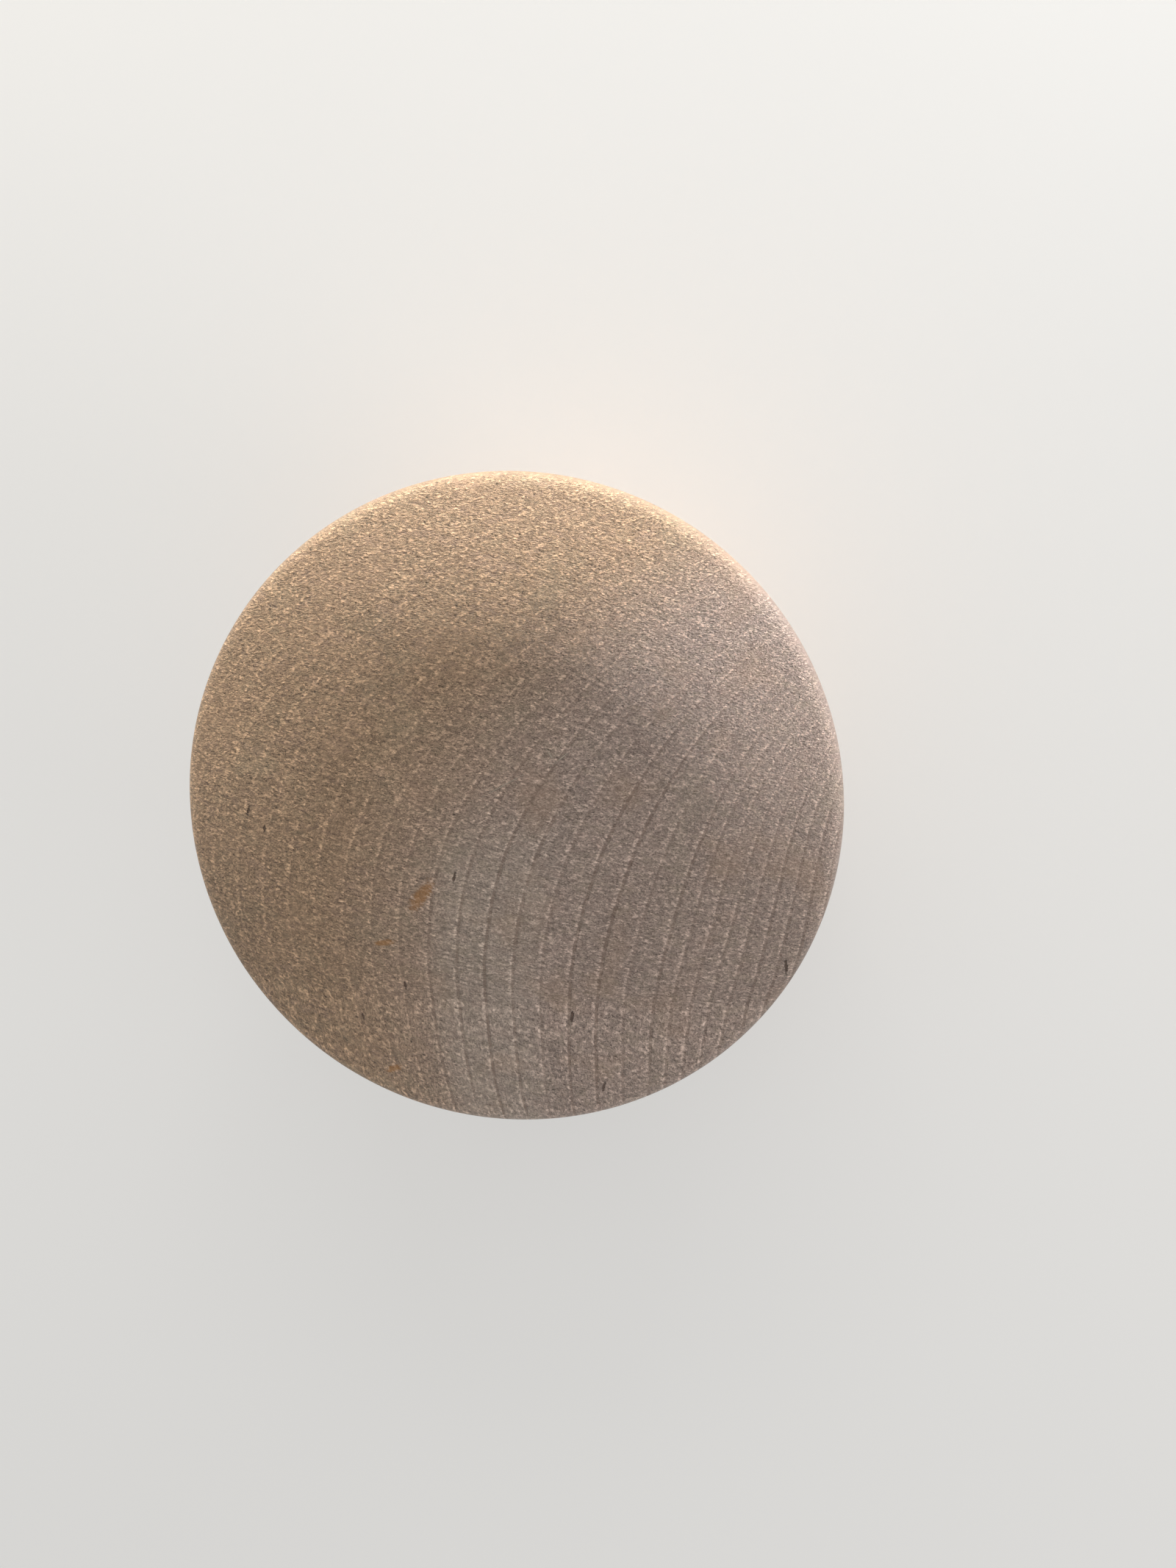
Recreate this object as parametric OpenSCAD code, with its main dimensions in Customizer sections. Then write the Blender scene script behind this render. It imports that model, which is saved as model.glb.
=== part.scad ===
// Turned wooden shaving bowl with a loose domed lid, holding one puck of shaving soap.
// Millimetres, +Z up. The origin is the centre of the foot's resting face.
// Every piece is round about the Z axis, so each is a profile of radius and height,
// turned once round. The soap sets the bowl's bore, and the bore sets the rest.

/* [Soap] */
// Diameter of the soap puck
puck_d = 80; // [60:1:100]
// Thickness of the puck at its middle
puck_h = 20; // [15:0.5:30]
// Radius of the puck's upper edge
puck_top_edge_r = 4; // [2:0.5:5]
// Radius of the puck's lower edge
puck_low_edge_r = 3; // [2:0.5:4]
// How far the puck's top crowns at its middle
puck_crown = 1; // [0.5:0.1:2]
// Radius from the axis to the middle of the ring pressed into the puck's top
puck_ring_r = 30; // [18:1:30]
// Radius of the pressed ring's rounded section
puck_ring_section_r = 3; // [2:0.5:4]
// Depth of the pressed ring
puck_ring_depth = 0.8; // [0.4:0.1:1.2]

/* [Bowl] */
// Thickness of the bowl's wall at its rim
rim_wall = 8.5; // [5:0.5:12]
// Wood under the soap, from the label recess to the bowl's floor
floor_t = 7.8; // [6:0.2:12]
// Free height between the soap and the lid's spigot, where lather is raised
lather_h = 8; // [6:0.5:15]
// Radius of the corner inside the bowl, where floor meets wall
floor_corner_r = 2; // [1:0.5:2]
// Height of the foot below the rounded body
foot_h = 3; // [2:0.5:5]
// How far the foot's side stands in from the bore's side
foot_inset = 5; // [3:0.5:9]
// Width of the ring that the bowl rests on
foot_ring_w = 7; // [4:0.5:10]
// Radius of the foot's lower edges
foot_edge_r = 0.8; // [0.4:0.1:1.2]
// Upright side below the rim, above the rounded part of the body
side_h = 13; // [6:1:16]
// Radius of the rim's outer edge, half of the shadow line under the lid
rim_outer_edge_r = 1.2; // [0.6:0.1:2]
// Radius of the rim's inner edge
rim_inner_edge_r = 0.6; // [0.3:0.1:1]

/* [Lid] */
// How far the lid stands out past the bowl's rim
lid_overhang = 0.5; // [0:0.1:1.5]
// Upright side of the lid, from its seat to the start of the rounded edge
lid_side_h = 5; // [3:0.5:8]
// Radius of the lid's rounded upper edge
lid_edge_r = 4.5; // [3:0.5:6]
// Slope of the dome's shoulder where it meets the rounded edge, in degrees
shoulder_slope = 24; // [16:1:32]
// Radius from the axis over which the middle of the dome is flatter
middle_r = 22.5; // [12:0.5:26]
// Slope of the flatter middle where it meets the shoulder, in degrees
middle_slope = 4; // [2:0.5:8]
// Radius of the lid's lower edge, the other half of the shadow line
lid_low_edge_r = 1.2; // [0.6:0.1:2]
// Wood between the top of the dome and the hollow under it
lid_t = 8; // [6:0.5:11]
// How far the spigot reaches down into the bowl
spigot_h = 5; // [4:0.5:8]
// Wall of the spigot
spigot_wall = 5; // [3.5:0.5:7]
// Radius of the spigot's edges
spigot_edge_r = 0.8; // [0.4:0.1:1.2]
// Radius of the corner inside the lid's hollow
hollow_corner_r = 4; // [2:0.5:6]

/* [Label] */
// Depth of the recess in the foot that keeps the label off the shelf
recess_depth = 1.2; // [0.8:0.1:2]
// Thickness of the paper label
label_t = 0.2; // [0.1:0.05:0.3]
// Bare margin round the label
label_margin = 3; // [1:0.5:8]

/* [Fits] */
// Gap all round between the puck and the bowl's bore
puck_gap = 1; // [0.5:0.1:2]
// Gap all round between the lid's spigot and the bowl's bore
spigot_gap = 0.4; // [0.3:0.05:1]

/* [Hidden] */
$fn = 128;

// Points along a quarter turn of a small edge, and along a large sweep.
edge_steps = 8;
sweep_steps = 28;

// Radii, from the soap outwards.
bore_r = puck_d / 2 + puck_gap;
bowl_r = bore_r + rim_wall;
lid_r = bowl_r + lid_overhang;
foot_r = bore_r - foot_inset;
recess_r = foot_r - foot_ring_w;
label_r = recess_r - label_margin;
spigot_r = bore_r - spigot_gap;
hollow_r = spigot_r - spigot_wall;

// Heights, from the foot upwards.
floor_z = recess_depth + floor_t;
soap_z = floor_z + puck_h;
seat_z = soap_z + lather_h + spigot_h;
spigot_z = seat_z - spigot_h;
edge_z = seat_z + lid_side_h;
belly_h = seat_z - side_h - foot_h;

// The dome is two arcs that run on smoothly: its shoulder from the rounded edge, and its
// flatter middle from the shoulder. Each centre is [radius, height].
edge_centre = [lid_r - lid_edge_r, edge_z];
shoulder_r = (edge_centre.x + lid_edge_r * sin(shoulder_slope) - middle_r)
    / (sin(shoulder_slope) - sin(middle_slope));
shoulder_centre = edge_centre
    - (shoulder_r - lid_edge_r) * [sin(shoulder_slope), cos(shoulder_slope)];
dome_r = middle_r / sin(middle_slope);
dome_centre = shoulder_centre - (dome_r - shoulder_r) * [sin(middle_slope), cos(middle_slope)];

// The hollow's roof follows the same two arcs, and is eased into the spigot's inner side.
corner_run = hollow_r - hollow_corner_r - shoulder_centre.x;
corner_centre = [hollow_r - hollow_corner_r, shoulder_centre.y
    + sqrt(pow(shoulder_r - lid_t - hollow_corner_r, 2) - pow(corner_run, 2))];
roof_slope = atan2(corner_run, corner_centre.y - shoulder_centre.y);

// The puck's crown is part of a sphere through its middle and its upper edge.
crown_run = puck_d / 2 - puck_top_edge_r;
crown_r = (pow(crown_run, 2) + pow(puck_crown, 2)) / (2 * puck_crown);

// Points on an arc about centre, from angle a0 to a1, both ends included.
function arc(centre, radius, a0, a1, steps) =
    [for (i = [0 : steps]) centre + radius * [cos(a0 + (a1 - a0) * i / steps),
                                             sin(a0 + (a1 - a0) * i / steps)]];

// Height of the puck's crowned top at a radius, before the ring is pressed in.
function crown_z(r) = soap_z - crown_r + sqrt(crown_r * crown_r - r * r);

module turned(profile) {
    rotate_extrude() polygon(profile);
}

module bowl() {
    color("tan") turned(concat(
        [[0, recess_depth], [recess_r, recess_depth]],
        arc([recess_r + foot_edge_r, foot_edge_r], foot_edge_r, 180, 270, edge_steps),
        arc([foot_r - foot_edge_r, foot_edge_r], foot_edge_r, -90, 0, edge_steps),
        [for (i = [0 : sweep_steps]) let (t = 90 * i / sweep_steps)
            [foot_r + (bowl_r - foot_r) * sin(t), foot_h + belly_h * (1 - cos(t))]],
        arc([bowl_r - rim_outer_edge_r, seat_z - rim_outer_edge_r], rim_outer_edge_r,
            0, 90, edge_steps),
        arc([bore_r + rim_inner_edge_r, seat_z - rim_inner_edge_r], rim_inner_edge_r,
            90, 180, edge_steps),
        arc([bore_r - floor_corner_r, floor_z + floor_corner_r], floor_corner_r,
            0, -90, edge_steps),
        [[0, floor_z]]));
}

module soap_puck() {
    edge_z = crown_z(crown_run) - puck_top_edge_r;
    color("ivory") difference() {
        turned(concat(
            [[0, floor_z]],
            arc([puck_d / 2 - puck_low_edge_r, floor_z + puck_low_edge_r], puck_low_edge_r,
                -90, 0, edge_steps),
            arc([crown_run, edge_z], puck_top_edge_r, 0, 90, edge_steps),
            [for (i = [1 : sweep_steps]) let (r = crown_run * (1 - i / sweep_steps))
                [r, crown_z(r)]]));
        rotate_extrude()
            translate([puck_ring_r,
                       crown_z(puck_ring_r) - puck_ring_depth + puck_ring_section_r])
                circle(puck_ring_section_r);
    }
}

module lid() {
    color("tan") turned(concat(
        arc(dome_centre, dome_r - lid_t, 90, 90 - middle_slope, edge_steps),
        arc(shoulder_centre, shoulder_r - lid_t, 90 - middle_slope, 90 - roof_slope,
            sweep_steps),
        arc(corner_centre, hollow_corner_r, 90 - roof_slope, 0, edge_steps),
        arc([hollow_r + spigot_edge_r, spigot_z + spigot_edge_r], spigot_edge_r,
            180, 270, edge_steps),
        arc([spigot_r - spigot_edge_r, spigot_z + spigot_edge_r], spigot_edge_r,
            -90, 0, edge_steps),
        [[spigot_r, seat_z]],
        arc([lid_r - lid_low_edge_r, seat_z + lid_low_edge_r], lid_low_edge_r,
            -90, 0, edge_steps),
        arc(edge_centre, lid_edge_r, 0, 90 - shoulder_slope, 2 * edge_steps),
        arc(shoulder_centre, shoulder_r, 90 - shoulder_slope, 90 - middle_slope,
            sweep_steps),
        arc(dome_centre, dome_r, 90 - middle_slope, 90, edge_steps)));
}

module base_label() {
    color("white")
        translate([0, 0, recess_depth - label_t])
            cylinder(r = label_r, h = label_t);
}

bowl();
soap_puck();
lid();
base_label();
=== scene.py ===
import bpy
import math
from mathutils import Matrix, Vector


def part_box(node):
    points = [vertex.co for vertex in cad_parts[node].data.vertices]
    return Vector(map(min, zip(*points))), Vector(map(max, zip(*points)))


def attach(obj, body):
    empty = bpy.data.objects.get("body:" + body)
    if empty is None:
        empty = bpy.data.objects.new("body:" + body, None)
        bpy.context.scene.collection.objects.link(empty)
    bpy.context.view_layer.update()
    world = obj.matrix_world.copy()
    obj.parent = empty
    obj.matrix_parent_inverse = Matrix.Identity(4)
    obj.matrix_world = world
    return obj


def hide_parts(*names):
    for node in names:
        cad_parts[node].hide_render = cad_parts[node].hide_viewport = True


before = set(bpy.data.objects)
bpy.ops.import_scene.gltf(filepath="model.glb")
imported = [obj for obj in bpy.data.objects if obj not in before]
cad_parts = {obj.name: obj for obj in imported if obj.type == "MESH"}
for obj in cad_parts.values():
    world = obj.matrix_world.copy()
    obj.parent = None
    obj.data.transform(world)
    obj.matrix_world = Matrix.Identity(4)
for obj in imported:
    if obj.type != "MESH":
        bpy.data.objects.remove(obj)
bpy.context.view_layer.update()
mm = 0.001
print("frame loaded")

# drawing a profile with a pen, then turning it round the Z axis

pen = {"at": Vector((0, 0))}  # where the pen stands, as radius and height


def startProfile(name, radius, height):
    bpy.ops.object.select_all(action="DESELECT")
    bpy.ops.mesh.primitive_plane_add(size=0.1 * mm, location=(radius, 0, height))
    bpy.context.object.name = name
    bpy.context.object.data.name = name
    bpy.ops.object.transform_apply(location=True, rotation=True, scale=True)
    bpy.ops.object.mode_set(mode="EDIT")
    bpy.ops.mesh.select_mode(type="VERT")
    bpy.ops.mesh.select_all(action="SELECT")
    bpy.ops.mesh.merge(type="CENTER")  # one point is left, which the next moves draw out
    pen["at"] = Vector((radius, height))


def lineTo(radius, height, steps=1):
    step = (Vector((radius, height)) - pen["at"]) / steps
    for piece in range(steps):
        bpy.ops.mesh.extrude_region_move(TRANSFORM_OT_translate={"value": (step.x, 0, step.y)})
    pen["at"] = Vector((radius, height))


def arcAbout(centre, degrees, steps):
    # anticlockwise is positive, with the radius to the right and the height upwards
    angle = math.radians(degrees)
    bpy.ops.mesh.spin(steps=steps, angle=angle, center=(centre.x, 0, centre.y), axis=(0, 1, 0))
    pen["at"] = centre + Matrix.Rotation(angle, 2) @ (pen["at"] - centre)


def turnProfile(turns=256):
    bpy.ops.mesh.select_all(action="SELECT")
    bpy.ops.mesh.spin(steps=turns, angle=2 * math.pi, center=(0, 0, 0), axis=(0, 0, 1))
    bpy.ops.mesh.select_all(action="SELECT")
    bpy.ops.mesh.remove_doubles(threshold=0.001 * mm)
    bpy.ops.mesh.normals_make_consistent(inside=False)
    bpy.ops.object.mode_set(mode="OBJECT")
    bpy.ops.object.shade_smooth()
    return bpy.context.object


def handWorn(piece, depth, size):
    # a lathe and sandpaper never leave a surface perfectly even, so it sinks a little here and there
    unevenness = bpy.data.textures.new(piece.name + "Unevenness", "CLOUDS")
    unevenness.noise_scale = size
    unevenness.noise_depth = 2
    sink = piece.modifiers.new("Sink", "DISPLACE")
    sink.texture = unevenness
    sink.texture_coords = "LOCAL"
    sink.mid_level = 1
    sink.strength = depth
    bpy.context.view_layer.objects.active = piece
    bpy.ops.object.modifier_apply(modifier="Sink")


# small helpers for materials


def addNode(tree, kind, inputs=None, **settings):
    made = tree.nodes.new("ShaderNode" + kind)
    for name, value in settings.items():
        setattr(made, name, value)
    for socket, value in (inputs or {}).items():
        if isinstance(value, bpy.types.NodeSocket):
            tree.links.new(value, made.inputs[socket])
        else:
            made.inputs[socket].default_value = value
    return made


def calc(tree, operation, *values):
    return addNode(tree, "Math", dict(enumerate(values)), operation=operation).outputs[0]


def vector(tree, operation, *values):
    made = addNode(tree, "VectorMath", dict(enumerate(values)), operation=operation)
    return made.outputs["Value" if operation == "LENGTH" else "Vector"]


def scaled(tree, value, factor):
    made = addNode(tree, "VectorMath", {"Vector": value, "Scale": factor}, operation="SCALE")
    return made.outputs["Vector"]


def ramp(tree, value, start, end, low=0.0, high=1.0):
    # eases from low to high as value goes from start to end, and may run downwards
    backwards = start > end
    inputs = {"Value": value, "From Min": min(start, end), "From Max": max(start, end)}
    inputs["To Min"] = high if backwards else low
    inputs["To Max"] = low if backwards else high
    return addNode(tree, "MapRange", inputs, interpolation_type="SMOOTHSTEP").outputs[0]


def noise(tree, place, scale, detail=2.0, roughness=0.5, distortion=0.0):
    inputs = {"Vector": place, "Scale": scale, "Detail": detail}
    inputs["Roughness"] = roughness
    inputs["Distortion"] = distortion
    return addNode(tree, "TexNoise", inputs).outputs[0]


def mix(tree, amount, first, second, blend="MIX"):
    inputs = {0: amount, 6: first, 7: second}
    made = addNode(tree, "Mix", inputs, data_type="RGBA", blend_type=blend, clamp_factor=True)
    return made.outputs[2]


def bump(tree, height, distance, strength=1.0, under=None):
    inputs = {"Height": height, "Distance": distance, "Strength": strength}
    if under is not None:
        inputs["Normal"] = under
    return addNode(tree, "Bump", inputs).outputs[0]


def startMaterial(name):
    material = bpy.data.materials.new(name)
    material.use_nodes = True
    tree = material.node_tree
    tree.nodes.clear()
    shader = addNode(tree, "BsdfPrincipled")
    addNode(tree, "OutputMaterial", {"Surface": shader.outputs[0]})
    place = addNode(tree, "TexCoord")
    inMillimetres = scaled(tree, place.outputs["Object"], 1 / mm)
    return material, tree, shader, inMillimetres


# wood, seen on its end grain from above and along its fibres from the side

stretchedUpwards = (1, 1, 0.08)  # slow patterns run a long way up the trunk
lidWood = {
    "pith": (-80.7, 29.0, 0),  # where the rings start from, in millimetres
    "drift": (36.9, -7.8, 0),  # how far their middle moves as they grow
    "driftFrom": 70.0,  # at this radius the middle is on the pith
    "driftOver": 50.0,  # and this much further out it has moved by the drift
    "widest": 27.0,  # past this they run straighter
    "straightening": 0.45,
    "fineRing": 0.69,  # spacing of the inner rings, before the drift draws them apart
    "wideRing": 1.07,  # and of the outer rings
    "ringChange": 66.9,  # where the spacing changes
    "boldRing": 8,  # the one ring that stands out
    "ringsStrongest": (-22, 24, 0),
    "boldStrength": 0.45,
    "lineFade": (58.0, 20.0, 0.24, 1.0),  # from this far to this near, and how strong at each
    "glintFade": (60.0, 20.0, 0.9, 1.0),
    "wobble": 0.25,  # slow waviness of a ring
    "jitter": 0.06,  # and its small unevenness
    "lineEdge": (0.09, 0.03),  # from the line's soft edge to its dark core
    "lineOpacity": 0.52,
    "lineColour": (0.22, 0.145, 0.11, 1),
    "glint": 0.62,  # a paler strip just behind each line
    "golden": (0.432, 0.291, 0.187, 1),
    "rosy": (0.447, 0.345, 0.297, 1),
    "goldenFrom": 71.5,
    "goldenTo": 80.5,
    "pale": (0.50, 0.425, 0.36, 1),
    "bandFrom": 70.6,  # the pale band where golden and rosy wood meet, partly the wood's own paler colour and partly painted sheen
    "bandTo": 76.0,
    "bandAmount": 0.42,
    "bandRays": 0.60,
    "bandCalm": 0.18,  # how far the flecks fade inside the band
    "pink": (0.50, 0.335, 0.28, 1),
    "olive": (0.42, 0.345, 0.235, 1),
    "orange": (0.53, 0.345, 0.225, 1),
    "straw": (0.44, 0.40, 0.28, 1),
    "mottleAmount": 0.16,  # of pink and olive
    "orangeAmount": 0.24,
    "strawAmount": 0.12,
    "fleckSize": (1.6, 3.0, 1.0),  # more is finer: across the rings, along them, down the fibres
    "beadSize": (1.6, 3.0, 1.0),
    "raySize": (0.16, 2.6, 1.0),
    "clouds": 0.18,  # how much each kind of grain lightens and darkens the wood
    "flecks": 1.25,
    # painted relief shade: tufts drawn paler on one flank and darker on the other
    "paintedReliefShade": 2.3,
    "outerFlecks": 1.22,  # the flecks are bolder away from where the ring lines show best
    "beads": 0.34,
    "rays": 0.30,
    "paintedSideShade": 0.68,  # painted shade: how light the upright sides are drawn against the end grain
    "sideGrain": 0.28,  # how much of that shows on upright sides
    "roughness": (0.56, 0.74),  # in the hollows of the grain and on its flecks
    "shine": 0.32,
    "sheen": 0.08,
    "grainDepth": 0.50 * mm,
    "latheDepth": 0.006 * mm,
    "marks": True,
    "marksFrom": 46.0,  # marks lie above this height
}
bowlWood = dict(
    lidWood,
    pith=(62.0, 58.0, 0),
    drift=(-24.0, -22.0, 0),
    widest=60.0,
    ringsStrongest=(20, -16, 0),
    boldRing=11,
    marks=False,
)
# each mark: x, y, length, width in millimetres, turn in degrees
woodMarks = {
    "stains": {
        "each": [(11.3, 10.9, 5.6, 2.0, 54), (17.2, 18.5, 3.2, 1.0, 8), (17.2, 40.3, 3.0, 1.2, 30)],
        "colour": (0.46, 0.21, 0.055, 1),
        "opacity": 0.62,
        "height": 0.0,
    },
    "pits": {
        "each": [
            (-10.8, 28.8, 1.9, 0.42, 84),
            (-15.4, 41.7, 1.8, 0.40, 80),
            (-42.2, 21.5, 2.4, 0.45, 98),
            (14.2, 25.0, 1.4, 0.36, 96),
            (6.4, 7.9, 1.5, 0.40, 78),
            (21.3, 31.1, 1.3, 0.36, 100),
            (38.1, -0.2, 1.5, 0.40, 75),
            (35.4, 2.2, 1.2, 0.36, 82),
        ],
        "colour": (0.10, 0.055, 0.035, 1),
        "opacity": 0.8,
        "height": -1.0,
    },
    "scratches": {
        "each": [
            (-9.2, -10.2, 2.6, 0.22, 40),
            (-7.4, -10.4, 1.6, 0.22, 125),
            (-1.0, -6.0, 7.5, 0.16, 30),
        ],
        "colour": (0.74, 0.64, 0.52, 1),
        "opacity": 0.6,
        "height": 0.4,
    },
}


def markMask(tree, place, mark, edge):
    x, y, length, width, turn = mark
    inputs = {"Vector": place, "Location": (x, y, 0), "Rotation": (0, 0, math.radians(turn))}
    inputs["Scale"] = (length / 2, width / 2, 1)
    local = addNode(tree, "Mapping", inputs, vector_type="TEXTURE").outputs[0]
    flat = vector(tree, "MULTIPLY", local, (1, 1, 0))
    return ramp(tree, calc(tree, "ADD", vector(tree, "LENGTH", flat), edge), 1.25, 0.55)


def marksTogether(tree, place, marks, edge):
    total = None
    for mark in marks:
        mask = markMask(tree, place, mark, edge)
        total = mask if total is None else calc(tree, "MAXIMUM", total, mask)
    return total


def growthRings(tree, place, wood):
    # rings whose middle drifts as the tree grew, and which run straighter past their widest
    x, y, z = addNode(tree, "SeparateXYZ", {0: place}).outputs
    pastWidest = calc(tree, "MAXIMUM", calc(tree, "SUBTRACT", y, wood["widest"]), 0.0)
    straighter = calc(tree, "MULTIPLY_ADD", pastWidest, -wood["straightening"], y)
    bent = addNode(tree, "CombineXYZ", {0: x, 1: straighter}).outputs[0]
    fromPith = vector(tree, "SUBTRACT", bent, wood["pith"])
    grown = calc(tree, "SUBTRACT", vector(tree, "LENGTH", fromPith), wood["driftFrom"])
    moved = scaled(tree, wood["drift"], calc(tree, "MULTIPLY", grown, 1 / wood["driftOver"]))
    arm = vector(tree, "SUBTRACT", fromPith, moved)
    armX, armY = addNode(tree, "SeparateXYZ", {0: arm}).outputs[:2]
    turn = calc(tree, "ARCTAN2", armY, armX)
    alongTrunk = vector(tree, "MULTIPLY", place, stretchedUpwards)
    wobble = calc(tree, "SUBTRACT", noise(tree, alongTrunk, 0.05, 2.0), 0.5)
    jitter = calc(tree, "SUBTRACT", noise(tree, alongTrunk, 1.3, 2.0), 0.5)
    radius = calc(tree, "MULTIPLY_ADD", wobble, wood["wobble"], vector(tree, "LENGTH", arm))
    radius = calc(tree, "MULTIPLY_ADD", jitter, wood["jitter"], radius)
    past = calc(tree, "SUBTRACT", radius, wood["ringChange"])
    outer = calc(tree, "DIVIDE", calc(tree, "MAXIMUM", past, 0.0), wood["wideRing"])
    inner = calc(tree, "DIVIDE", calc(tree, "MINIMUM", past, 0.0), wood["fineRing"])
    phase = calc(tree, "ADD", outer, inner)
    ring = calc(tree, "ROUND", phase)
    widening = calc(tree, "GREATER_THAN", past, 0.0)
    step = wood["wideRing"] - wood["fineRing"]
    spacing = calc(tree, "MULTIPLY_ADD", widening, step, wood["fineRing"])
    offset = calc(tree, "MULTIPLY", calc(tree, "SUBTRACT", phase, ring), spacing)
    return radius, turn, ring, offset


def ringLines(tree, wood, grain, fleck, away, ring, offset):
    # dark lines with a paler strip just behind them, both fading away from where they show best
    each = addNode(tree, "TexWhiteNoise", {"W": ring}, noise_dimensions="1D").outputs[0]
    bold = calc(tree, "COMPARE", ring, float(wood["boldRing"]), 0.5)
    clear = ramp(tree, away, *wood["lineFade"])
    strength = calc(tree, "MULTIPLY", clear, ramp(tree, each, 0.0, 1.0, 0.45, 1.0))
    strength = calc(tree, "MAXIMUM", strength, calc(tree, "MULTIPLY", bold, wood["boldStrength"]))
    spread = calc(tree, "ABSOLUTE", offset)
    line = calc(tree, "MULTIPLY", ramp(tree, spread, *wood["lineEdge"]), strength)
    gaps = noise(tree, vector(tree, "MULTIPLY", grain, (0.3, 1.0, 1.0)), 0.9, 2.0)
    line = calc(tree, "MULTIPLY", line, ramp(tree, gaps, 0.34, 0.56, 0.35, 1.0))
    behind = calc(tree, "MULTIPLY", ramp(tree, offset, 0.03, 0.07), ramp(tree, offset, 0.24, 0.09))
    behind = calc(tree, "MULTIPLY", behind, ramp(tree, away, *wood["glintFade"]))
    glint = calc(tree, "MULTIPLY", behind, ramp(tree, fleck, 0.40, 0.60))
    return line, glint


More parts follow.
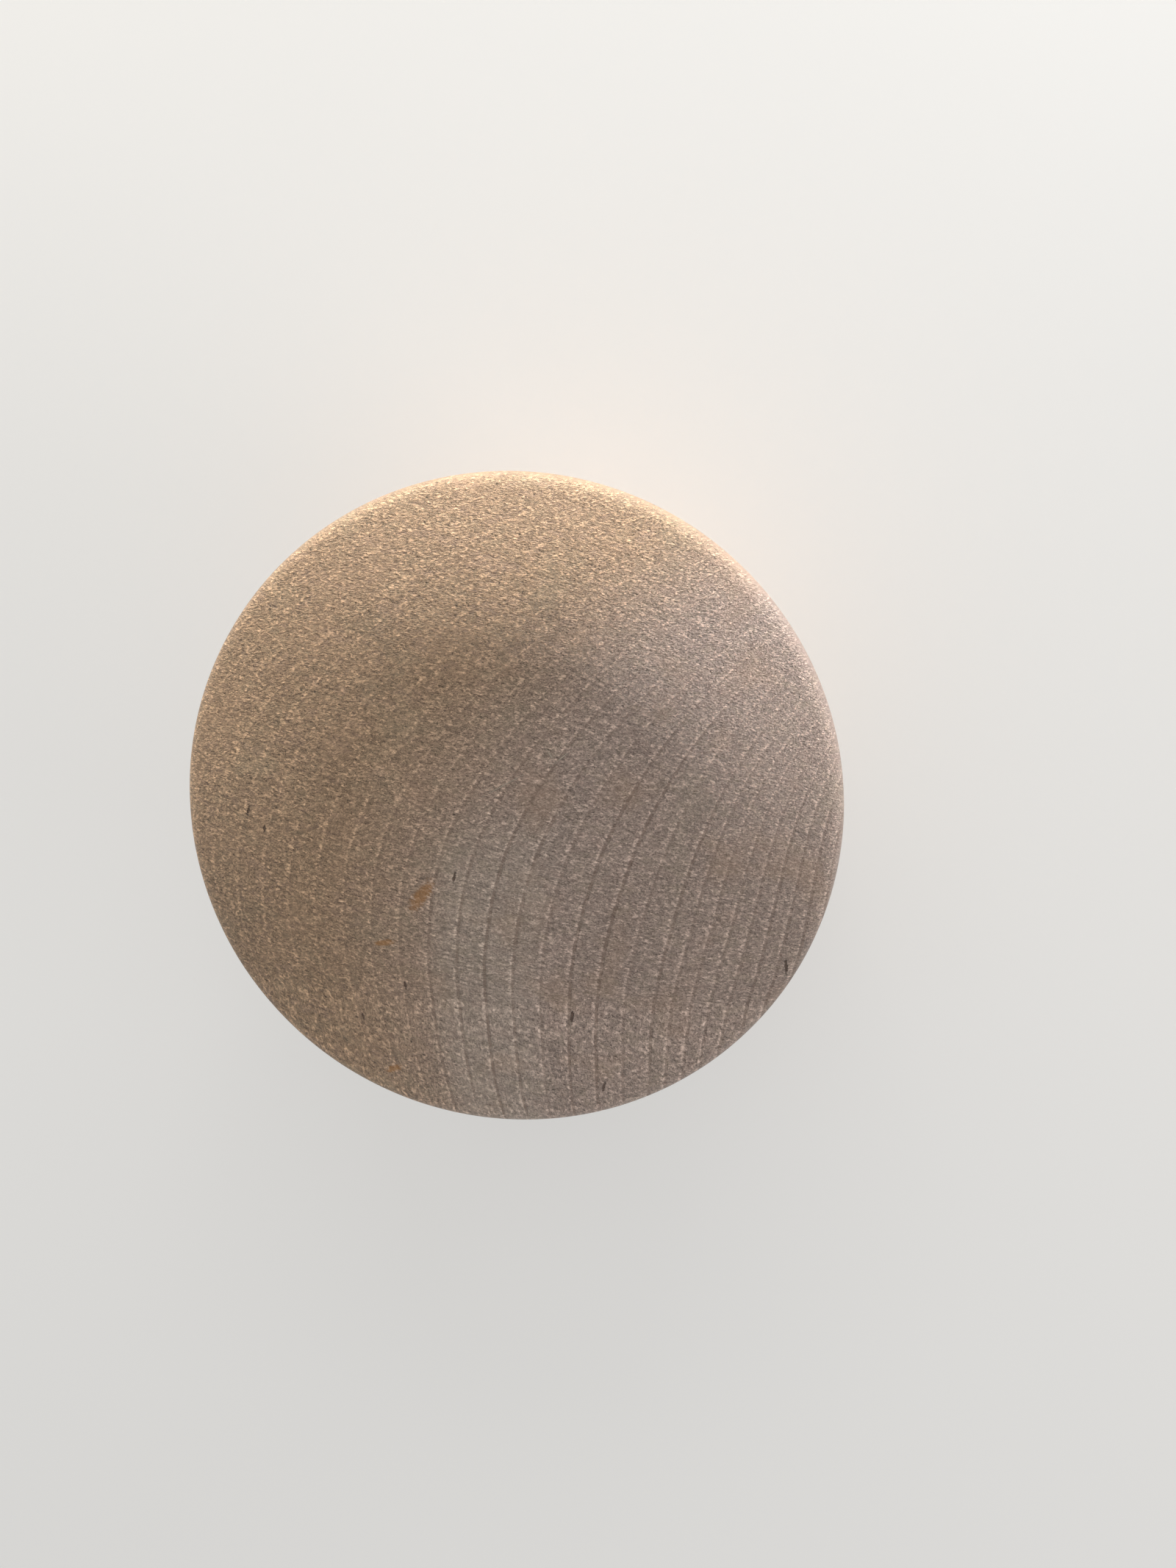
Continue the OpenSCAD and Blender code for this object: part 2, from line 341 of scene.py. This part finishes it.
def makeWood(name, wood):
    material, tree, shader, place = startMaterial(name)
    x, y, z = addNode(tree, "SeparateXYZ", {0: place}).outputs
    flat = addNode(tree, "CombineXYZ", {0: x, 1: y}).outputs[0]
    radius, turn, ring, offset = growthRings(tree, place, wood)

    # grain runs along the rays, along the rings, and for a long way along the fibres
    alongRay = calc(tree, "MULTIPLY", radius, 3.5)
    alongRing = calc(tree, "MULTIPLY", turn, 72.0)
    alongFibre = calc(tree, "MULTIPLY", z, 0.06)
    grain = addNode(tree, "CombineXYZ", {0: alongRay, 1: alongRing, 2: alongFibre}).outputs[0]
    fleckPlace = vector(tree, "MULTIPLY", grain, wood["fleckSize"])
    fleck = noise(tree, fleckPlace, 1.0, 2.0, 0.55, 0.8)
    fuzz = noise(tree, vector(tree, "ADD", fleckPlace, (7, 3, 1)), 1.5, 1.5, 0.55, 1.6)
    # the tuft noise taken a small step aside, for the painted relief shade
    reliefShadeSample = noise(tree, vector(tree, "ADD", fleckPlace, (7.1, 3.42, 1)), 1.5, 1.5, 0.55, 1.6)
    beadPlace = vector(tree, "MULTIPLY", grain, wood["beadSize"])
    beads = addNode(tree, "TexVoronoi", {"Vector": beadPlace, "Scale": 1.0}).outputs
    beadChance = addNode(tree, "SeparateXYZ", {0: beads["Color"]}).outputs[0]
    bead = ramp(tree, beads["Distance"], 0.38, 0.14)
    bead = calc(tree, "MULTIPLY", bead, ramp(tree, beadChance, 0.45, 0.75))
    rays = noise(tree, vector(tree, "MULTIPLY", grain, wood["raySize"]), 1.0, 2.0, 0.6)
    alongTrunk = vector(tree, "MULTIPLY", place, stretchedUpwards)
    cloud = noise(tree, alongTrunk, 0.11, 3.0, 0.55, 0.4)
    tint = noise(tree, vector(tree, "ADD", alongTrunk, (40, 10, 5)), 0.10, 2.0)
    mottle = noise(tree, vector(tree, "MULTIPLY", grain, (0.35, 0.6, 1.0)), 1.0, 3.0, 0.6, 0.5)

    # how far the surface shows end grain
    facing = addNode(tree, "SeparateXYZ", {0: addNode(tree, "TexCoord").outputs["Normal"]}).outputs[2]
    endGrain = ramp(tree, calc(tree, "ABSOLUTE", facing), 0.25, 0.75)
    away = vector(tree, "LENGTH", vector(tree, "SUBTRACT", flat, wood["ringsStrongest"]))
    line, glint = ringLines(tree, wood, grain, fleck, away, ring, offset)

    # golden wood outside, rosy wood inside, and one pale band where they meet, partly paler wood and
    # partly painted sheen
    older = ramp(tree, radius, wood["goldenFrom"], wood["goldenTo"])
    colour = mix(tree, older, wood["rosy"], wood["golden"])
    bandStart = ramp(tree, radius, wood["bandFrom"], wood["bandFrom"] + 1.8)
    bandEnd = ramp(tree, radius, wood["bandTo"], wood["bandTo"] - 1.4)
    # the painted sheen part: the band shows only towards +Y
    paleBandAndSheen = calc(tree, "MULTIPLY", calc(tree, "MULTIPLY", bandStart, bandEnd), ramp(tree, y, -8.0, 10.0))
    colour = mix(tree, calc(tree, "MULTIPLY", paleBandAndSheen, wood["bandAmount"]), colour, wood["pale"])

    # light and dark: broad clouds, flecks, and painted relief shade that draws raised tufts paler on
    # one flank than the other
    shade = calc(tree, "MULTIPLY_ADD", calc(tree, "SUBTRACT", cloud, 0.5), wood["clouds"], 1.0)
    tuft = ramp(tree, fuzz, 0.50, 0.64, -0.15, 0.75)
    speckle = calc(tree, "MULTIPLY_ADD", calc(tree, "SUBTRACT", fleck, 0.5), wood["flecks"], tuft)
    speckle = calc(tree, "ADD", speckle, ramp(tree, fleck, 0.56, 0.68, -0.06, 0.60))
    # painted shade and highlight: tuft noise a step aside less the tuft noise, drawn like raking light
    # on raised tufts
    speckle = calc(tree, "MULTIPLY_ADD", calc(tree, "SUBTRACT", reliefShadeSample, fuzz), wood["paintedReliefShade"], speckle)
    speckle = calc(tree, "MULTIPLY", speckle, ramp(tree, paleBandAndSheen, 0.0, 1.0, 1.0, 1 - wood["bandCalm"]))
    speckle = calc(tree, "MULTIPLY", speckle, ramp(tree, away, 25.0, 70.0, 1.0, wood["outerFlecks"]))
    showing = calc(tree, "MULTIPLY_ADD", endGrain, 1 - wood["sideGrain"], wood["sideGrain"])
    shade = calc(tree, "MULTIPLY_ADD", speckle, showing, shade)
    rayAmount = calc(tree, "MULTIPLY_ADD", paleBandAndSheen, wood["bandRays"], wood["rays"])
    shade = calc(tree, "MULTIPLY_ADD", calc(tree, "SUBTRACT", rays, 0.5), rayAmount, shade)
    shade = calc(tree, "MULTIPLY_ADD", calc(tree, "MULTIPLY", bead, endGrain), wood["beads"], shade)
    shade = calc(tree, "MULTIPLY_ADD", glint, wood["glint"], shade)
    # painted shade: upright sides drawn darker than the end grain
    sides = calc(tree, "MULTIPLY_ADD", endGrain, 1 - wood["paintedSideShade"], wood["paintedSideShade"])
    shade = calc(tree, "MULTIPLY", shade, sides)
    shadeColour = addNode(tree, "CombineXYZ", {0: shade, 1: shade, 2: shade}).outputs[0]
    colour = mix(tree, 1.0, colour, shadeColour, "MULTIPLY")
    colour = mix(tree, ramp(tree, mottle, 0.50, 0.68, 0.0, wood["mottleAmount"]), colour, wood["pink"])
    colour = mix(tree, ramp(tree, mottle, 0.50, 0.34, 0.0, wood["mottleAmount"]), colour, wood["olive"])
    colour = mix(tree, ramp(tree, tint, 0.50, 0.72, 0.0, wood["orangeAmount"]), colour, wood["orange"])
    colour = mix(tree, ramp(tree, tint, 0.46, 0.28, 0.0, wood["strawAmount"]), colour, wood["straw"])
    colour = mix(tree, calc(tree, "MULTIPLY", line, wood["lineOpacity"]), colour, wood["lineColour"])

    # relief: flecks and tufts stand up, ring lines sink
    height = calc(tree, "MULTIPLY_ADD", fleck, 0.60, calc(tree, "MULTIPLY", fuzz, 0.55))
    height = calc(tree, "MULTIPLY_ADD", bead, 0.28, height)
    height = calc(tree, "MULTIPLY_ADD", rays, 0.25, height)
    height = calc(tree, "MULTIPLY_ADD", line, -0.35, height)
    height = calc(tree, "MULTIPLY", height, calc(tree, "MULTIPLY_ADD", endGrain, 0.75, 0.25))
    if wood["marks"]:
        top = ramp(tree, z, wood["marksFrom"], wood["marksFrom"] + 1.5)
        edge = calc(tree, "MULTIPLY", calc(tree, "SUBTRACT", fleck, 0.5), 1.6)
        for look in woodMarks.values():
            mask = calc(tree, "MULTIPLY", marksTogether(tree, place, look["each"], edge), top)
            shown = calc(tree, "MULTIPLY", mask, look["opacity"])
            colour = mix(tree, shown, colour, look["colour"])
            height = calc(tree, "MULTIPLY_ADD", mask, look["height"], height)

    # faint rings left by the lathe, on the bevelled and hidden faces more than on the sanded top
    fromAxis = vector(tree, "LENGTH", flat)
    lathe = calc(tree, "SINE", calc(tree, "MULTIPLY", calc(tree, "ADD", fromAxis, z), 7.0))
    lathe = calc(tree, "MULTIPLY", lathe, ramp(tree, facing, 0.15, 0.5, 1.0, 0.0))
    lathe = calc(tree, "MULTIPLY", lathe, noise(tree, place, 0.3, 2.0))
    under = bump(tree, lathe, wood["latheDepth"])
    tree.links.new(bump(tree, height, wood["grainDepth"], 1.0, under), shader.inputs["Normal"])
    tree.links.new(colour, shader.inputs["Base Color"])
    tree.links.new(ramp(tree, fleck, 0.25, 0.75, *wood["roughness"]), shader.inputs["Roughness"])
    shader.inputs["Specular IOR Level"].default_value = wood["shine"]
    shader.inputs["Sheen Weight"].default_value = wood["sheen"]
    shader.inputs["Sheen Roughness"].default_value = 0.5
    return material


# shaving soap: waxy, a little see-through, pressed and cut

soapLook = {
    "ivory": (0.64, 0.57, 0.45, 1),
    "cream": (0.72, 0.66, 0.55, 1),
    "bloom": (0.80, 0.77, 0.70, 1),
    "pore": (0.60, 0.50, 0.36, 1),
    "poreAmount": 0.35,
    "bloomAmount": 0.45,
    "brushRings": 1.9,  # radians of swirl for each millimetre from the middle
    "brushWander": 9.0,
    "brushDepth": 0.030 * mm,
    "veinDepth": 0.25 * mm,
    "grainDepth": 0.05 * mm,
    "glow": 0.25,  # how much light passes through
    "glowReach": 3 * mm,
}


def makeSoap(name):
    material, tree, shader, place = startMaterial(name)
    x, y, z = addNode(tree, "SeparateXYZ", {0: place}).outputs
    fromAxis = vector(tree, "LENGTH", addNode(tree, "CombineXYZ", {0: x, 1: y}).outputs[0])
    cloud = noise(tree, place, 0.08, 3.0, 0.6, 1.5)
    veins = noise(tree, vector(tree, "MULTIPLY", place, (1, 1, 3)), 0.22, 4.0, 0.65, 2.5)
    specks = addNode(tree, "TexVoronoi", {"Vector": place, "Scale": 0.9}).outputs["Distance"]
    pores = ramp(tree, specks, 0.16, 0.04)
    colour = mix(tree, ramp(tree, cloud, 0.35, 0.65), soapLook["ivory"], soapLook["cream"])
    bloomed = ramp(tree, veins, 0.52, 0.70, 0.0, soapLook["bloomAmount"])
    colour = mix(tree, bloomed, colour, soapLook["bloom"])
    colour = mix(tree, calc(tree, "MULTIPLY", pores, soapLook["poreAmount"]), colour, soapLook["pore"])
    # faint rings where a wet brush has turned on the face
    turns = calc(tree, "MULTIPLY", fromAxis, soapLook["brushRings"])
    swirl = calc(tree, "SINE", calc(tree, "MULTIPLY_ADD", cloud, soapLook["brushWander"], turns))
    under = bump(tree, swirl, soapLook["brushDepth"])
    under = bump(tree, veins, soapLook["veinDepth"], 0.8, under)
    pitted = calc(tree, "SUBTRACT", noise(tree, place, 2.2, 3.0), pores)
    normal = bump(tree, pitted, soapLook["grainDepth"], 1.0, under)
    tree.links.new(normal, shader.inputs["Normal"])
    tree.links.new(colour, shader.inputs["Base Color"])
    tree.links.new(ramp(tree, veins, 0.3, 0.7, 0.34, 0.52), shader.inputs["Roughness"])
    shader.inputs["Subsurface Weight"].default_value = soapLook["glow"]
    shader.inputs["Subsurface Radius"].default_value = (1.0, 0.7, 0.45)
    shader.inputs["Subsurface Scale"].default_value = soapLook["glowReach"]
    shader.inputs["Specular IOR Level"].default_value = 0.45
    return material


# blank paper for the label under the foot

paperLook = {
    "sheet": (0.76, 0.70, 0.59, 1),
    "fibre": (0.60, 0.50, 0.37, 1),
    "ink": (0.34, 0.25, 0.17, 1),
    "borderRadius": 23.5,  # millimetres, the plain printed ring
    "borderWidth": 0.5,
    "fibreAmount": 0.30,
    "fibreDepth": 0.02 * mm,
}


def makePaper(name):
    material, tree, shader, place = startMaterial(name)
    x, y, z = addNode(tree, "SeparateXYZ", {0: place}).outputs
    fromAxis = vector(tree, "LENGTH", addNode(tree, "CombineXYZ", {0: x, 1: y}).outputs[0])
    long = noise(tree, vector(tree, "MULTIPLY", place, (0.5, 4.5, 1)), 1.0, 3.0, 0.6, 0.9)
    cross = noise(tree, vector(tree, "MULTIPLY", place, (4.0, 0.6, 1)), 1.0, 3.0, 0.6, 0.9)
    cloud = noise(tree, place, 0.12, 3.0)
    fibres = calc(tree, "MAXIMUM", ramp(tree, long, 0.58, 0.72), ramp(tree, cross, 0.60, 0.74))
    colour = mix(tree, ramp(tree, cloud, 0.3, 0.7, 0.0, 0.25), paperLook["sheet"], paperLook["fibre"])
    seen = calc(tree, "MULTIPLY", fibres, paperLook["fibreAmount"])
    colour = mix(tree, seen, colour, paperLook["fibre"])
    fromBorder = calc(tree, "ABSOLUTE", calc(tree, "SUBTRACT", fromAxis, paperLook["borderRadius"]))
    border = ramp(tree, fromBorder, paperLook["borderWidth"] * 0.6, paperLook["borderWidth"] * 0.4)
    worn = calc(tree, "MULTIPLY", border, ramp(tree, long, 0.35, 0.5, 0.6, 0.9))
    colour = mix(tree, worn, colour, paperLook["ink"])
    raised = bump(tree, calc(tree, "ADD", fibres, cloud), paperLook["fibreDepth"])
    tree.links.new(raised, shader.inputs["Normal"])
    tree.links.new(colour, shader.inputs["Base Color"])
    tree.links.new(ramp(tree, long, 0.3, 0.7, 0.78, 0.92), shader.inputs["Roughness"])
    shader.inputs["Specular IOR Level"].default_value = 0.2
    return material


# lid: a shallow dome with a rounded edge, a spigot under it and a hollow roof

lidLow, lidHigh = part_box("lid")
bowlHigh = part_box("bowl")[1]
soapLow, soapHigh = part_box("soap_puck")
labelLow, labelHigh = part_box("base_label")
lidShape = {
    "edgeRadius": 4.5 * mm,
    "sideHeight": 5 * mm,
    "shoulderSlope": 24,  # degrees, where the dome meets its rounded edge
    "middleSlope": 4,  # degrees, where the flatter middle starts
    "middleRadius": 22.5 * mm,
    "thickness": 8 * mm,
    "lowEdgeRadius": 1.2 * mm,
    "spigotGap": 0.4 * mm,
    "spigotWall": 5 * mm,
    "spigotEdge": 0.8 * mm,
    "hollowCorner": 4 * mm,
}
rimWall = 8.5 * mm
boreRadius = bowlHigh.x - rimWall


def atAngle(centre, reach, degrees):
    angle = math.radians(degrees)
    return centre + Vector((math.cos(angle), math.sin(angle))) * reach


def makeLid():
    shape = lidShape
    outer = lidHigh.x
    seat = bowlHigh.z
    edgeCentre = Vector((outer - shape["edgeRadius"], seat + shape["sideHeight"]))
    shoulder = math.radians(shape["shoulderSlope"])
    middle = math.radians(shape["middleSlope"])
    run = edgeCentre.x + shape["edgeRadius"] * math.sin(shoulder) - shape["middleRadius"]
    shoulderReach = run / (math.sin(shoulder) - math.sin(middle))
    domeReach = shape["middleRadius"] / math.sin(middle)
    inward = shape["edgeRadius"] - shoulderReach
    shoulderCentre = atAngle(edgeCentre, inward, 90 - shape["shoulderSlope"])
    domeCentre = atAngle(shoulderCentre, shoulderReach - domeReach, 90 - shape["middleSlope"])
    spigotOuter = boreRadius - shape["spigotGap"]
    hollow = spigotOuter - shape["spigotWall"]
    cornerAcross = hollow - shape["hollowCorner"] - shoulderCentre.x
    cornerReach = shoulderReach - shape["thickness"] - shape["hollowCorner"]
    cornerUp = math.sqrt(cornerReach**2 - cornerAcross**2)
    cornerCentre = shoulderCentre + Vector((cornerAcross, cornerUp))
    roofSlope = math.degrees(math.atan2(cornerAcross, cornerUp))
    ease = shape["spigotEdge"]
    lowEdge = shape["lowEdgeRadius"]
    foot = lidLow.z

    startProfile("Lid", 0, domeCentre.y + domeReach - shape["thickness"])
    arcAbout(domeCentre, -shape["middleSlope"], 16)
    arcAbout(shoulderCentre, shape["middleSlope"] - roofSlope, 12)
    arcAbout(cornerCentre, roofSlope - 90, 10)
    lineTo(hollow, foot + ease, 5)
    arcAbout(Vector((hollow + ease, foot + ease)), 90, 5)
    lineTo(spigotOuter - ease, foot, 3)
    arcAbout(Vector((spigotOuter - ease, foot + ease)), 90, 5)
    lineTo(spigotOuter, seat, 4)
    lineTo(outer - lowEdge, seat, 7)
    arcAbout(Vector((outer - lowEdge, seat + lowEdge)), 90, 6)
    lineTo(outer, edgeCentre.y, 3)
    arcAbout(edgeCentre, 90 - shape["shoulderSlope"], 14)
    arcAbout(shoulderCentre, shape["shoulderSlope"] - shape["middleSlope"], 26)
    arcAbout(domeCentre, shape["middleSlope"], 22)
    lid = turnProfile()
    handWorn(lid, 0.05 * mm, 14 * mm)
    return lid


# bowl: a foot with a shallow recess, a belly swelling to an upright side, and a straight bore

bowlShape = {
    "recessDepth": 1.2 * mm,
    "footHeight": 3 * mm,
    "footInset": 5 * mm,
    "footRing": 7 * mm,
    "footEdge": 0.8 * mm,
    "sideHeight": 13 * mm,
    "floorCorner": 2 * mm,
    "rimOuterEdge": 1.2 * mm,
    "rimInnerEdge": 0.6 * mm,
}


def makeBowl():
    shape = bowlShape
    outer = bowlHigh.x
    rim = bowlHigh.z
    floor = soapLow.z
    foot = boreRadius - shape["footInset"]
    recess = foot - shape["footRing"]
    footEdge = shape["footEdge"]
    bellyHeight = rim - shape["sideHeight"] - shape["footHeight"]
    outerEdge = shape["rimOuterEdge"]
    innerEdge = shape["rimInnerEdge"]
    corner = shape["floorCorner"]

    startProfile("Bowl", 0, shape["recessDepth"])
    lineTo(recess, shape["recessDepth"], 10)
    lineTo(recess, footEdge)
    arcAbout(Vector((recess + footEdge, footEdge)), 90, 5)
    lineTo(foot - footEdge, 0, 3)
    arcAbout(Vector((foot - footEdge, footEdge)), 90, 5)
    lineTo(foot, shape["footHeight"], 2)
    bellySteps = 30
    for step in range(1, bellySteps + 1):
        angle = math.radians(90 * step / bellySteps)
        across = foot + (outer - foot) * math.sin(angle)
        lineTo(across, shape["footHeight"] + bellyHeight * (1 - math.cos(angle)))
    lineTo(outer, rim - outerEdge, 6)
    arcAbout(Vector((outer - outerEdge, rim - outerEdge)), 90, 6)
    lineTo(boreRadius + innerEdge, rim, 4)
    arcAbout(Vector((boreRadius + innerEdge, rim - innerEdge)), 90, 5)
    lineTo(boreRadius, floor + corner, 14)
    arcAbout(Vector((boreRadius - corner, floor + corner)), -90, 6)
    lineTo(0, floor, 12)
    return turnProfile()


# soap puck: crowned on top, with a shallow ring pressed into its face

soapShape = {
    "topEdge": 4 * mm,
    "lowEdge": 3 * mm,
    "crown": 1 * mm,
    "ringRadius": 30 * mm,
    "ringSection": 3 * mm,
    "ringDepth": 0.8 * mm,
}


def makeSoapPuck():
    shape = soapShape
    outer = soapHigh.x
    floor = soapLow.z
    top = soapHigh.z
    topEdge = shape["topEdge"]
    lowEdge = shape["lowEdge"]
    run = outer - topEdge
    crownReach = (run**2 + shape["crown"] ** 2) / (2 * shape["crown"])

    def crownHeight(radius):
        return top - crownReach + math.sqrt(crownReach**2 - radius**2)

    edgeHeight = crownHeight(run) - topEdge
    ringCentre = crownHeight(shape["ringRadius"]) - shape["ringDepth"] + shape["ringSection"]

    startProfile("SoapPuck", 0, floor)
    lineTo(outer - lowEdge, floor, 10)
    arcAbout(Vector((outer - lowEdge, floor + lowEdge)), 90, 8)
    lineTo(outer, edgeHeight, 5)
    arcAbout(Vector((run, edgeHeight)), 90, 10)
    faceSteps = 72
    for step in range(1, faceSteps + 1):
        radius = run * (1 - step / faceSteps)
        across = abs(radius - shape["ringRadius"])
        height = crownHeight(radius)
        if across < shape["ringSection"]:
            height = min(height, ringCentre - math.sqrt(shape["ringSection"] ** 2 - across**2))
        lineTo(radius, height)
    puck = turnProfile()
    handWorn(puck, 0.12 * mm, 9 * mm)
    return puck


# label: a thin round of paper in the foot's recess


def makeBaseLabel():
    outer = labelHigh.x
    low = labelLow.z
    high = labelHigh.z
    soft = (high - low) / 4
    startProfile("BaseLabel", 0, low)
    lineTo(outer - soft, low, 16)
    lineTo(outer, low + soft)
    lineTo(outer, high - soft)
    lineTo(outer - soft, high)
    lineTo(0, high, 16)
    return turnProfile(192)


pieces = [
    (makeLid, "lid", "lid", "lid_wood", makeWood("LidWood", lidWood)),
    (makeBowl, "bowl", "bowl", "bowl_wood", makeWood("BowlWood", bowlWood)),
    (makeSoapPuck, "soap_puck", "soap_puck", "soap", makeSoap("ShavingSoap")),
    (makeBaseLabel, "bowl", "base_label", "label_paper", makePaper("LabelPaper")),
]
for make, body, cadNode, slot, material in pieces:
    piece = make()
    piece.data.materials.append(material)
    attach(piece, body)
    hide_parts(cadNode)
    print(piece.name, "made,", len(piece.data.polygons), "faces")

# floor, light and camera

studio = {
    "floorSize": 8,
    "floorDark": (0.60, 0.60, 0.59, 1),
    "floorLight": (0.64, 0.64, 0.63, 1),
    "floorGlow": 0.33,
    "horizon": (0.49, 0.49, 0.49, 1),
    "overhead": (0.462, 0.455, 0.438, 1),
    "lightsAimAt": 0.86,  # this much of the whole height
}


def makeFloor():
    bpy.ops.object.select_all(action="DESELECT")
    bpy.ops.mesh.primitive_plane_add(size=studio["floorSize"], location=(0, 0, 0))
    floor = bpy.context.object
    floor.name = "Floor"
    material, tree, shader, place = startMaterial("PaleFloor")
    cloud = noise(tree, place, 0.004, 3.0)
    shade = mix(tree, cloud, studio["floorDark"], studio["floorLight"])
    tree.links.new(shade, shader.inputs["Base Color"])
    shader.inputs["Roughness"].default_value = 0.9
    shader.inputs["Specular IOR Level"].default_value = 0.1
    shader.inputs["Emission Color"].default_value = (1, 1, 1, 1)
    shader.inputs["Emission Strength"].default_value = studio["floorGlow"]
    floor.data.materials.append(material)


def makeSky():
    world = bpy.data.worlds.new("Studio")
    bpy.context.scene.world = world
    world.use_nodes = True
    tree = world.node_tree
    tree.nodes.clear()
    direction = addNode(tree, "TexCoord").outputs["Generated"]
    up = addNode(tree, "SeparateXYZ", {0: direction}).outputs[2]
    colour = mix(tree, ramp(tree, up, 0.0, 0.6), studio["horizon"], studio["overhead"])
    background = addNode(tree, "Background", {"Color": colour})
    addNode(tree, "OutputWorld", {"Surface": background.outputs[0]})


# name, direction round the object in degrees from the front, height of its middle, distance,
# width, height of the panel, power in watts, colour
lights = [
    ("KeyLight", -25, 0.020, 0.42, 0.24, 0.028, 2.8, (1.0, 0.985, 0.96)),
    ("WarmLight", 32, 0.022, 0.42, 0.20, 0.028, 1.35, (1.0, 0.92, 0.77)),
    ("FrontFill", 0, 0.36, 0.80, 0.50, 0.30, 1.4, (1.0, 0.97, 0.93)),
    ("SideFill", -105, 0.36, 0.80, 0.50, 0.30, 0.9, (1.0, 0.93, 0.90)),
]


def makeLight(name, azimuth, height, distance, width, tall, power, colour):
    angle = math.radians(azimuth)
    place = Vector((math.sin(angle) * distance, -math.cos(angle) * distance, height))
    aim = Vector((0, 0, lidHigh.z * studio["lightsAimAt"])) - place
    turn = aim.to_track_quat("-Z", "Y").to_euler()
    bpy.ops.object.light_add(type="AREA", location=place, rotation=turn)
    light = bpy.context.object
    light.name = name
    light.data.shape = "RECTANGLE"
    light.data.size = width
    light.data.size_y = tall
    light.data.energy = power
    light.data.color = colour
    light.visible_camera = False


view = {
    "aim": Vector((-12.13, -4.99, 50.0)) * mm,
    "azimuth": -25.28,  # degrees round from the front
    "elevation": 78.477,  # degrees above level
    "distance": 167.45 * mm,
    "up": Vector((0.0302, -0.9834, -0.1787)),
    "lens": 26.0,
}


def makeCamera():
    around = math.radians(view["azimuth"])
    above = math.radians(view["elevation"])
    level = Vector((math.sin(around), -math.cos(around), 0))
    back = level * math.cos(above) + Vector((0, 0, math.sin(above)))
    right = view["up"].cross(back).normalized()
    up = back.cross(right)
    turned = Matrix((right, up, back)).transposed()
    place = view["aim"] + back * view["distance"]
    bpy.ops.object.camera_add(location=place, rotation=turned.to_euler())
    camera = bpy.context.object
    camera.data.lens = view["lens"]
    camera.data.sensor_width = 36
    camera.data.clip_start = 0.01
    bpy.context.scene.camera = camera


makeFloor()
makeSky()
for light in lights:
    makeLight(*light)
makeCamera()
bpy.context.scene.view_settings.view_transform = "Standard"
print("studio ready")
